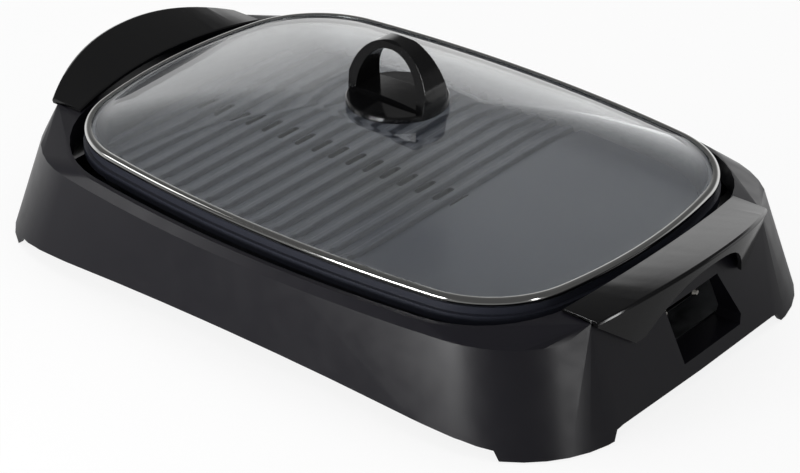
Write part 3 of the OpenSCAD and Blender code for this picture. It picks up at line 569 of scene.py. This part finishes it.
def point_mesh(name, points):
    """A mesh of loose points, given in millimetres."""
    mesh = bpy.data.meshes.new(name)
    mesh.from_pydata([Vector(p) * MM for p in points], [], [])
    return mesh


# Geometry Nodes trees


def node_tree(name, inputs):
    """A Geometry Nodes tree with these named number inputs after its geometry."""
    tree = bpy.data.node_groups.new(name, "GeometryNodeTree")
    tree.interface.new_socket("Geometry", in_out="INPUT", socket_type="NodeSocketGeometry")
    for label in inputs:
        tree.interface.new_socket(label, in_out="INPUT", socket_type="NodeSocketFloat")
    tree.interface.new_socket("Finish", in_out="INPUT", socket_type="NodeSocketMaterial")
    tree.interface.new_socket("Geometry", in_out="OUTPUT", socket_type="NodeSocketGeometry")
    return tree, add(tree, "NodeGroupInput").outputs


def end_tree(tree, given, geometry):
    """Ends a tree in Realize Instances and Set Material."""
    real = add(tree, "GeometryNodeRealizeInstances", {"Geometry": geometry})
    coated = add(tree, "GeometryNodeSetMaterial", {
        "Geometry": real.outputs["Geometry"], "Material": given["Finish"]})
    add(tree, "NodeGroupOutput", {"Geometry": coated.outputs["Geometry"]})


def lifted(tree, geometry, height):
    """Geometry moved up by the height that a socket gives."""
    place = add(tree, "ShaderNodeCombineXYZ", {"Z": height})
    moved = add(tree, "GeometryNodeTransform", {
        "Geometry": geometry, "Translation": place.outputs[0]})
    return moved.outputs[0]


def stand_on_points(tree, given, parts, turn=None):
    """Ends a tree with the joined parts on every point of the given mesh."""
    joined = add(tree, "GeometryNodeJoinGeometry")
    for part in parts:
        tree.links.new(part, joined.inputs["Geometry"])
    dots = add(tree, "GeometryNodeMeshToPoints", {"Mesh": given["Geometry"]})
    stood = add(tree, "GeometryNodeInstanceOnPoints", {
        "Points": dots.outputs["Points"], "Instance": joined.outputs["Geometry"]})
    if turn:
        tree.links.new(turn, stood.inputs["Rotation"])
    end_tree(tree, given, stood.outputs["Instances"])


def grow_tree(name, mesh, tree, values, finish_name):
    """Runs a tree on a mesh with these values and bakes the result."""
    seed = add_object(name + "_seed", mesh)
    modifier = seed.modifiers.new(name, "NODES")
    modifier.node_group = tree
    values = dict(values, Finish=finish(finish_name))
    for item in tree.interface.items_tree:
        if item.in_out == "INPUT" and item.name in values:
            modifier[item.identifier] = values[item.name]
    return bake(seed)


def screw_tree():
    """Pan-head screws with a cross recess and a thread, standing on the points of a mesh."""
    tree, given = node_tree("screws", [
        "Shank Radius", "Shank Length", "Head Radius", "Head Height", "Thread Pitch",
        "Turned Over"])
    part = {}
    for label, size, share in (
        ("core radius", "Shank Radius", 0.86), ("core middle", "Shank Length", 0.5),
        ("thread radius", "Shank Radius", 0.88), ("thread height", "Shank Length", 0.9),
        ("thread depth", "Shank Radius", 0.12), ("thread start", "Shank Length", 0.03),
        ("head foot", "Head Radius", 0.8), ("head drop", "Head Height", -1),
        ("bar length", "Head Radius", 1.1), ("bar height", "Head Height", 1.1),
        ("flip", "Turned Over", math.pi),
    ):
        product = add(tree, "ShaderNodeMath", {0: given[size], 1: share}, operation="MULTIPLY")
        part[label] = product.outputs[0]

    core = add(tree, "GeometryNodeMeshCylinder", {
        "Vertices": 20, "Radius": part["core radius"], "Depth": given["Shank Length"]})
    turns = add(tree, "ShaderNodeMath", {0: part["thread height"], 1: given["Thread Pitch"]},
                operation="DIVIDE")
    helix = add(tree, "GeometryNodeCurveSpiral", {
        "Resolution": 14, "Rotations": turns.outputs[0], "Start Radius": part["thread radius"],
        "End Radius": part["thread radius"], "Height": part["thread height"]})
    profile = add(tree, "GeometryNodeCurvePrimitiveCircle", {
        "Resolution": 4, "Radius": part["thread depth"]})
    thread = add(tree, "GeometryNodeCurveToMesh", {
        "Curve": helix.outputs[0], "Profile Curve": profile.outputs["Curve"]})
    head = add(tree, "GeometryNodeMeshCone", {
        "Vertices": 28, "Side Segments": 1, "Radius Top": given["Head Radius"],
        "Radius Bottom": part["head foot"], "Depth": given["Head Height"]})
    cut = add(tree, "GeometryNodeMeshBoolean", {
        "Mesh 1": lifted(tree, head.outputs["Mesh"], part["head drop"])},
        operation="DIFFERENCE", solver="EXACT")
    for long_side, short_side in (("X", "Y"), ("Y", "X")):
        bar_size = add(tree, "ShaderNodeCombineXYZ", {
            short_side: RECESS_WIDTH * MM, long_side: part["bar length"], "Z": part["bar height"]})
        bar = add(tree, "GeometryNodeMeshCube", {"Size": bar_size.outputs[0]})
        tree.links.new(lifted(tree, bar.outputs["Mesh"], part["head drop"]), cut.inputs["Mesh 2"])
    over = add(tree, "ShaderNodeCombineXYZ", {"X": part["flip"]})
    stand_on_points(tree, given, (
        lifted(tree, core.outputs["Mesh"], part["core middle"]),
        lifted(tree, thread.outputs["Mesh"], part["thread start"]),
        cut.outputs["Mesh"],
    ), over.outputs[0])
    return tree


def foot_tree():
    """Moulded rubber feet with tread rings, standing on the points of a mesh."""
    tree, given = node_tree("feet", ["Radius", "Height", "Ring Radius"])
    pad = add(tree, "GeometryNodeMeshCone", {
        "Vertices": 48, "Radius Top": given["Radius"], "Radius Bottom": given["Radius"],
        "Depth": given["Height"]})
    parts = [pad.outputs["Mesh"]]
    for share in TREAD_SHARES:
        wide = add(tree, "ShaderNodeMath", {0: given["Radius"], 1: share}, operation="MULTIPLY")
        circle = add(tree, "GeometryNodeCurvePrimitiveCircle", {
            "Resolution": 48, "Radius": wide.outputs[0]})
        bead = add(tree, "GeometryNodeCurvePrimitiveCircle", {
            "Resolution": 8, "Radius": given["Ring Radius"]})
        ring = add(tree, "GeometryNodeCurveToMesh", {
            "Curve": circle.outputs["Curve"], "Profile Curve": bead.outputs["Curve"]})
        parts.append(lifted(tree, ring.outputs["Mesh"], given["Ring Radius"]))
    stand_on_points(tree, given, parts)
    return tree


def dome_tree():
    """Raises a flat lid outline to a dome.

    On its points, reach is the share of the outline's size, and under is 1 on the inner face.
    A reach of 0 leaves a point where it is.
    """
    tree, given = node_tree("dome", ["Foot Height", "Crown Height", "Crown Share", "Thickness"])
    reach, under = (
        add(tree, "GeometryNodeInputNamedAttribute", {"Name": name}, data_type="FLOAT")
        .outputs["Attribute"] for name in ("reach", "under"))
    value = {
        "foot": given["Foot Height"], "top": given["Crown Height"], "crown": given["Crown Share"],
        "thickness": given["Thickness"], "reach": reach, "under": under, "one": 1.0,
    }
    # The height falls with the square of the reach, from the flat crown to the foot
    for label, operation, a, b in (
        ("rise", "SUBTRACT", "top", "foot"),
        ("crown squared", "MULTIPLY", "crown", "crown"),
        ("full", "SUBTRACT", "one", "crown squared"),
        ("reach squared", "MULTIPLY", "reach", "reach"),
        ("within", "SUBTRACT", "one", "reach squared"),
        ("share", "DIVIDE", "within", "full"),
        ("share to crown", "MINIMUM", "share", "one"),
        ("raised", "MULTIPLY", "rise", "share to crown"),
        ("outer height", "ADD", "foot", "raised"),
        ("drop", "MULTIPLY", "thickness", "under"),
        ("height", "SUBTRACT", "outer height", "drop"),
    ):
        result = add(tree, "ShaderNodeMath", {0: value[a], 1: value[b]}, operation=operation)
        value[label] = result.outputs[0]
    here = add(tree, "GeometryNodeInputPosition").outputs["Position"]
    split = add(tree, "ShaderNodeSeparateXYZ", {"Vector": here}).outputs
    place = add(tree, "ShaderNodeCombineXYZ", {
        "X": split["X"], "Y": split["Y"], "Z": value["height"]})
    moves = add(tree, "FunctionNodeCompare", {"A": reach, "B": 0.0},
                data_type="FLOAT", operation="GREATER_THAN")
    moved = add(tree, "GeometryNodeSetPosition", {
        "Geometry": given["Geometry"], "Selection": moves.outputs["Result"],
        "Position": place.outputs[0]})
    end_tree(tree, given, moved.outputs["Geometry"])
    return tree


# Pieces


class GRILL_OT_housing(bpy.types.Operator):
    """Housing with its bottom sheet, drip tray and plate brackets"""

    bl_idname = "grill.housing"
    bl_label = "Housing"

    def execute(self, context):
        shell = rounded_copy("housing", context.scene.grill_sizes.moulding_edge)
        even_wall(shell)
        add_ledge(shell)
        new_piece("housing_shell", shell, "moulded_abs", "black_housing", "base", "housing")
        coat("bottom_sheet", "zinc_plate")
        coat("drip_tray", "tray_sheet")
        coat("plate_brackets", "zinc_plate")
        return {"FINISHED"}


class GRILL_OT_feet(bpy.types.Operator):
    """Four rubber feet"""

    bl_idname = "grill.feet"
    bl_label = "Rubber Feet"

    def execute(self, context):
        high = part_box("rubber_feet")[1]
        x, y = high[0] / MM - FOOT_RADIUS, high[1] / MM - FOOT_RADIUS
        spots = [(-x, -y, 0), (-x, y, 0), (x, -y, 0), (x, y, 0)]
        values = {
            "Radius": FOOT_RADIUS * MM, "Height": FOOT_HEIGHT * MM,
            "Ring Radius": TREAD_RADIUS * MM,
        }
        points = point_mesh("foot_spots", spots)
        mesh = grow_tree("feet", points, foot_tree(), values, "moulded_rubber")
        smooth_by_angle(mesh, BUILT_SHARP)
        new_piece("tread_feet", mesh, "moulded_rubber", "rubber", "base", "rubber_feet")
        return {"FINISHED"}


class GRILL_OT_screws(bpy.types.Operator):
    """Screws of the bottom sheet, grips, brackets, terminal guard and knob"""

    bl_idname = "grill.screws"
    bl_label = "Screws"

    def execute(self, context):
        pitch = context.scene.grill_sizes.thread_pitch
        tree = screw_tree()
        for node, body, spots, shank_r, shank_l, head_r, head_h, over in SCREWS:
            values = {
                "Shank Radius": shank_r * MM, "Shank Length": shank_l * MM,
                "Head Radius": head_r * MM, "Head Height": head_h * MM,
                "Thread Pitch": pitch, "Turned Over": float(over),
            }
            points = point_mesh(node + "_spots", spots)
            mesh = grow_tree(node, points, tree, values, "dark_screw")
            smooth_by_angle(mesh, BUILT_SHARP)
            new_piece("threaded_" + node, mesh, "dark_screw", "screw_steel", body, node)
        return {"FINISHED"}


class GRILL_OT_grips(bpy.types.Operator):
    """Two arched side grips"""

    bl_idname = "grill.grips"
    bl_label = "Grips"

    def execute(self, context):
        edge = context.scene.grill_sizes.grip_edge
        for side in ("left", "right"):
            mesh = rounded_copy("grip_" + side, edge, flat_degrees=0.2)
            new_piece("arched_grip_" + side, mesh, "phenolic_gloss",
                      "black_gloss", "base", "grip_" + side)
        return {"FINISHED"}


class GRILL_OT_plate(bpy.types.Operator):
    """Cast cooking plate with ridges, flat griddle and drain slots"""

    bl_idname = "grill.plate"
    bl_label = "Cooking Plate"

    def execute(self, context):
        mesh = rounded_copy("grill_plate", context.scene.grill_sizes.casting_edge)
        new_piece("coated_plate", mesh, "non_stick_coat", "coated_cast", "plate", "grill_plate")
        return {"FINISHED"}


class GRILL_OT_heater(bpy.types.Operator):
    """Heating element, terminals and feeler sleeve"""

    bl_idname = "grill.heater"
    bl_label = "Heater"

    def execute(self, context):
        coat("heating_element", "browned_sheath")
        coat("terminal_pin_front", "nickel_plate")
        coat("terminal_pin_back", "nickel_plate")
        coat("ceramic_bushes", "steatite")
        # The guard's dark grey is painted shade of the socket around it
        coat("terminal_guard", "socket_shade_zinc")
        coat("feeler_sleeve", "nickel_plate")
        coat("earth_tab", "brass_stock")
        return {"FINISHED"}


class GRILL_OT_lid_rim(bpy.types.Operator):
    """Rolled steel rim of the lid and its gasket"""

    bl_idname = "grill.lid_rim"
    bl_label = "Lid Rim"

    def execute(self, context):
        sizes = context.scene.grill_sizes
        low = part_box("lid_rim")[0][2] / MM
        high = low + sizes.rim_height / MM
        lip = sizes.rim_lip / MM
        sheet = sizes.rim_sheet / MM
        middle = (low + high) / 2
        half = (high - low) / 2
        # Section of the channel: outside from the lower lip to the upper, then back inside
        turns = [math.radians(a) for a in range(-90, 91, 15)]
        section = [(-lip, low)]
        section += [(-RIM_BULGE * (1 - math.cos(a)), middle + half * math.sin(a)) for a in turns]
        section += [(-lip + RIM_BEND, high - RIM_FALL / 3), (-lip, high - RIM_FALL)]
        section += [(-lip, high - sheet)]
        section += [(-RIM_BULGE * (1 - math.cos(a)) - sheet * math.cos(a),
                     middle + (half - sheet) * math.sin(a)) for a in reversed(turns)]
        section += [(-lip, low + sheet)]
        mesh = loft("rim", [(ring_points(RIM_RING, inset), z) for inset, z in section])
        smooth_by_angle(mesh, BUILT_SHARP)
        new_piece("rolled_rim", mesh, "stainless_strip", "rim_steel", "lid", "lid_rim")
        coat("rim_gasket", "moulded_rubber")
        return {"FINISHED"}


class GRILL_OT_lid_glass(bpy.types.Operator):
    """Domed glass of the lid"""

    bl_idname = "grill.lid_glass"
    bl_label = "Lid Glass"

    def execute(self, context):
        sizes = context.scene.grill_sizes
        foot = sizes.dome_foot / MM
        edge = ring_points(RIM_RING, -GLASS_EDGE_INSET)
        dome = ring_points(RIM_RING, -GLASS_DOME_INSET)
        hole = [p.normalized() * GLASS_HOLE_RADIUS for p in dome]
        shares = [1 - (1 - CROWN_SHARE) * (i / DOME_STEPS) for i in range(DOME_STEPS + 1)]
        outer = [(share, [p * share for p in dome]) for share in shares]
        # Rows of reach, under, height and outline, from the edge over the dome and back inside
        rows = [(0.0, 0.0, foot, edge)]
        rows += [(share, 0.0, foot, ring) for share, ring in outer]
        rows += [(CROWN_SHARE, 0.0, foot, hole), (CROWN_SHARE, 1.0, foot, hole)]
        rows += [(share, 1.0, foot, [p * INNER_SHARE for p in ring])
                 for share, ring in reversed(outer)]
        rows += [(0.0, 1.0, foot - sizes.glass_thickness / MM, edge)]
        mesh = loft("dome_outline", [(ring, z) for _, _, z, ring in rows])
        for name, column in (("reach", 0), ("under", 1)):
            layer = mesh.attributes.new(name, "FLOAT", "POINT")
            layer.data.foreach_set("value", [row[column] for row in rows for _ in edge])
        values = {"Foot Height": sizes.dome_foot, "Crown Height": sizes.crown_height,
                  "Crown Share": CROWN_SHARE, "Thickness": sizes.glass_thickness}
        mesh = grow_tree("dome", mesh, dome_tree(), values, "tempered_glass")
        smooth_by_angle(mesh, GLASS_SHARP)
        new_piece("glass_dome", mesh, "tempered_glass", "glass", "lid", "lid_glass")
        return {"FINISHED"}


class GRILL_OT_knob(bpy.types.Operator):
    """Loop knob with its insert, seals and washer"""

    bl_idname = "grill.knob"
    bl_label = "Knob"

    def execute(self, context):
        mesh = rounded_copy("knob", context.scene.grill_sizes.knob_edge, flat_degrees=0.5)
        new_piece("loop_knob", mesh, "phenolic_gloss", "black_gloss", "lid", "knob")
        coat("knob_insert", "brass_stock")
        coat("knob_seal", "moulded_rubber")
        coat("inner_seal", "moulded_rubber")
        coat("steel_washer", "nickel_plate")
        return {"FINISHED"}


# Stage


def pale_floor(colour):
    # White seamless paper: matt, near white to camera and glass, with its soft shadow kept; metal
    # and gloss see a painted glow
    material, tree, shader, where = start_material("seamless_paper", colour, 0.9)
    shader.inputs["Specular IOR Level"].default_value = 0.0
    path = add(tree, "ShaderNodeLightPath").outputs
    seen = add(tree, "ShaderNodeMath", {0: path["Is Camera Ray"], 1: path["Is Transmission Ray"]},
               operation="MAXIMUM")
    # Seen directly or through glass it is mostly plain white; the shaded rest keeps the shadow
    plain = add(tree, "ShaderNodeMath", {0: seen.outputs[0], 1: 0.86}, operation="MULTIPLY")
    share = add(tree, "ShaderNodeMath", {0: plain.outputs[0], 1: path["Is Glossy Ray"]},
                operation="MAXIMUM")
    # Painted reflection: in gloss the paper glows dimmer in front of the object and brighter behind
    # it, as paper with its light from behind would
    behind = add(tree, "ShaderNodeVectorMath", {0: where, 1: BEHIND}, operation="DOT_PRODUCT")
    painted_reflection_level = add(tree, "ShaderNodeMapRange", {
        "Value": behind.outputs["Value"], "From Min": -0.15, "From Max": 0.35,
        "To Min": 0.22, "To Max": 1.0}, interpolation_type="SMOOTHSTEP")
    level = add(tree, "ShaderNodeMix", {
        "Factor": path["Is Glossy Ray"], "A": 1.0, "B": painted_reflection_level.outputs["Result"]}, data_type="FLOAT")
    glow = add(tree, "ShaderNodeEmission", {
        "Color": (1, 1, 1, 1), "Strength": level.outputs["Result"]})
    blend_surfaces(tree, share.outputs[0], shader.outputs["BSDF"], glow.outputs["Emission"])
    return material


def studio_world():
    """White to the camera and through glass, grey as light, and mirrored as a low backdrop."""
    world = bpy.data.worlds.new("studio")
    bpy.context.scene.world = world
    world.use_nodes = True
    tree = world.node_tree
    tree.nodes.clear()
    path = add(tree, "ShaderNodeLightPath").outputs
    where = add(tree, "ShaderNodeTexCoord").outputs["Generated"]
    behind = add(tree, "ShaderNodeVectorMath", {0: where, 1: BEHIND}, operation="DOT_PRODUCT")
    sweep = add(tree, "ShaderNodeMapRange", {
        "Value": behind.outputs["Value"], "From Min": -0.1, "From Max": 0.6},
        interpolation_type="SMOOTHSTEP")
    split = add(tree, "ShaderNodeSeparateXYZ", {"Vector": where})
    low = add(tree, "ShaderNodeMapRange", {
        "Value": split.outputs["Z"], "From Min": 0.14, "From Max": 0.5,
        "To Min": 1.0, "To Max": 0.13}, interpolation_type="SMOOTHSTEP")
    backdrop = add(tree, "ShaderNodeMath", {0: sweep.outputs["Result"], 1: low.outputs["Result"]},
                   operation="MULTIPLY")
    room = add(tree, "ShaderNodeMath", {0: backdrop.outputs[0], 1: 0.1}, operation="MAXIMUM")
    glossy = add(tree, "ShaderNodeMix", {
        "Factor": path["Is Glossy Ray"], "A": 0.42, "B": room.outputs[0]}, data_type="FLOAT")
    seen = add(tree, "ShaderNodeMath", {0: path["Is Camera Ray"], 1: path["Is Transmission Ray"]},
               operation="MAXIMUM")
    strength = add(tree, "ShaderNodeMix", {
        "Factor": seen.outputs[0], "A": glossy.outputs["Result"], "B": 1.0}, data_type="FLOAT")
    glow = add(tree, "ShaderNodeBackground", {
        "Color": (1, 1, 1, 1), "Strength": strength.outputs["Result"]})
    add(tree, "ShaderNodeOutputWorld", {"Surface": glow.outputs["Background"]})


def place_at(holder, place, aim):
    """Places a lamp or camera and turns it to its aim, in metres."""
    holder.location = place
    holder.rotation_euler = (Vector(aim) - Vector(place)).to_track_quat("-Z", "Y").to_euler()


def softbox(name, place, aim, width, height, watts, mirrored):
    """A rectangular studio lamp; one that isn't mirrored shows in no gloss or glass."""
    lamp = bpy.data.lights.new(name, "AREA")
    lamp.shape = "RECTANGLE"
    lamp.size = width
    lamp.size_y = height
    lamp.energy = watts
    holder = add_object(name, lamp)
    place_at(holder, place, aim)
    holder.visible_camera = False
    holder.visible_glossy = mirrored
    holder.visible_transmission = mirrored


class GRILL_OT_stage(bpy.types.Operator):
    """Floor, lamps and camera"""

    bl_idname = "grill.stage"
    bl_label = "Stage"

    def execute(self, context):
        scene = context.scene
        scene.view_settings.view_transform = "Standard"
        mesh = bpy.data.meshes.new("floor")
        bm = bmesh.new()
        bmesh.ops.create_circle(bm, cap_ends=True, radius=FLOOR_RADIUS, segments=96)
        bm.to_mesh(mesh)
        bm.free()
        floor = add_object("floor", mesh)
        mesh.materials.append(pale_floor(tuple(scene.grill_colours.floor)))
        studio_world()
        for lamp in LAMPS:
            softbox(*lamp)
        camera = bpy.data.cameras.new("photo_camera")
        camera.lens = CAMERA_LENS
        camera.sensor_width = CAMERA_SENSOR
        camera.clip_end = CAMERA_FAR_END
        holder = add_object("photo_camera", camera)
        place_at(holder, Vector(CAMERA_PLACE) * MM, Vector(CAMERA_AIM) * MM)
        scene.camera = holder
        return {"FINISHED"}


OPERATORS = (
    GRILL_OT_housing, GRILL_OT_feet, GRILL_OT_screws, GRILL_OT_grips, GRILL_OT_plate,
    GRILL_OT_heater, GRILL_OT_lid_rim, GRILL_OT_lid_glass, GRILL_OT_knob, GRILL_OT_stage,
)


class GRILL_PT_panel(bpy.types.Panel):
    bl_idname = "GRILL_PT_panel"
    bl_label = "Indoor Grill"
    bl_space_type = "VIEW_3D"
    bl_region_type = "UI"
    bl_category = "Grill"

    def draw(self, context):
        for group in (context.scene.grill_sizes, context.scene.grill_colours):
            for name in group.__annotations__:
                self.layout.prop(group, name)
        for operator in OPERATORS:
            self.layout.operator(operator.bl_idname)


CLASSES = (GrillSizes, GrillColours) + OPERATORS + (GRILL_PT_panel,)


def register():
    for cls in CLASSES:
        bpy.utils.register_class(cls)
    bpy.types.Scene.grill_sizes = bpy.props.PointerProperty(type=GrillSizes)
    bpy.types.Scene.grill_colours = bpy.props.PointerProperty(type=GrillColours)


def unregister():
    del bpy.types.Scene.grill_colours
    del bpy.types.Scene.grill_sizes
    for cls in reversed(CLASSES):
        bpy.utils.unregister_class(cls)


def main():
    register()
    bpy.ops.grill.stage()
    bpy.ops.grill.housing()
    bpy.ops.grill.feet()
    bpy.ops.grill.screws()
    bpy.ops.grill.grips()
    bpy.ops.grill.plate()
    bpy.ops.grill.heater()
    bpy.ops.grill.lid_rim()
    bpy.ops.grill.lid_glass()
    bpy.ops.grill.knob()


if __name__ == "__main__":
    main()
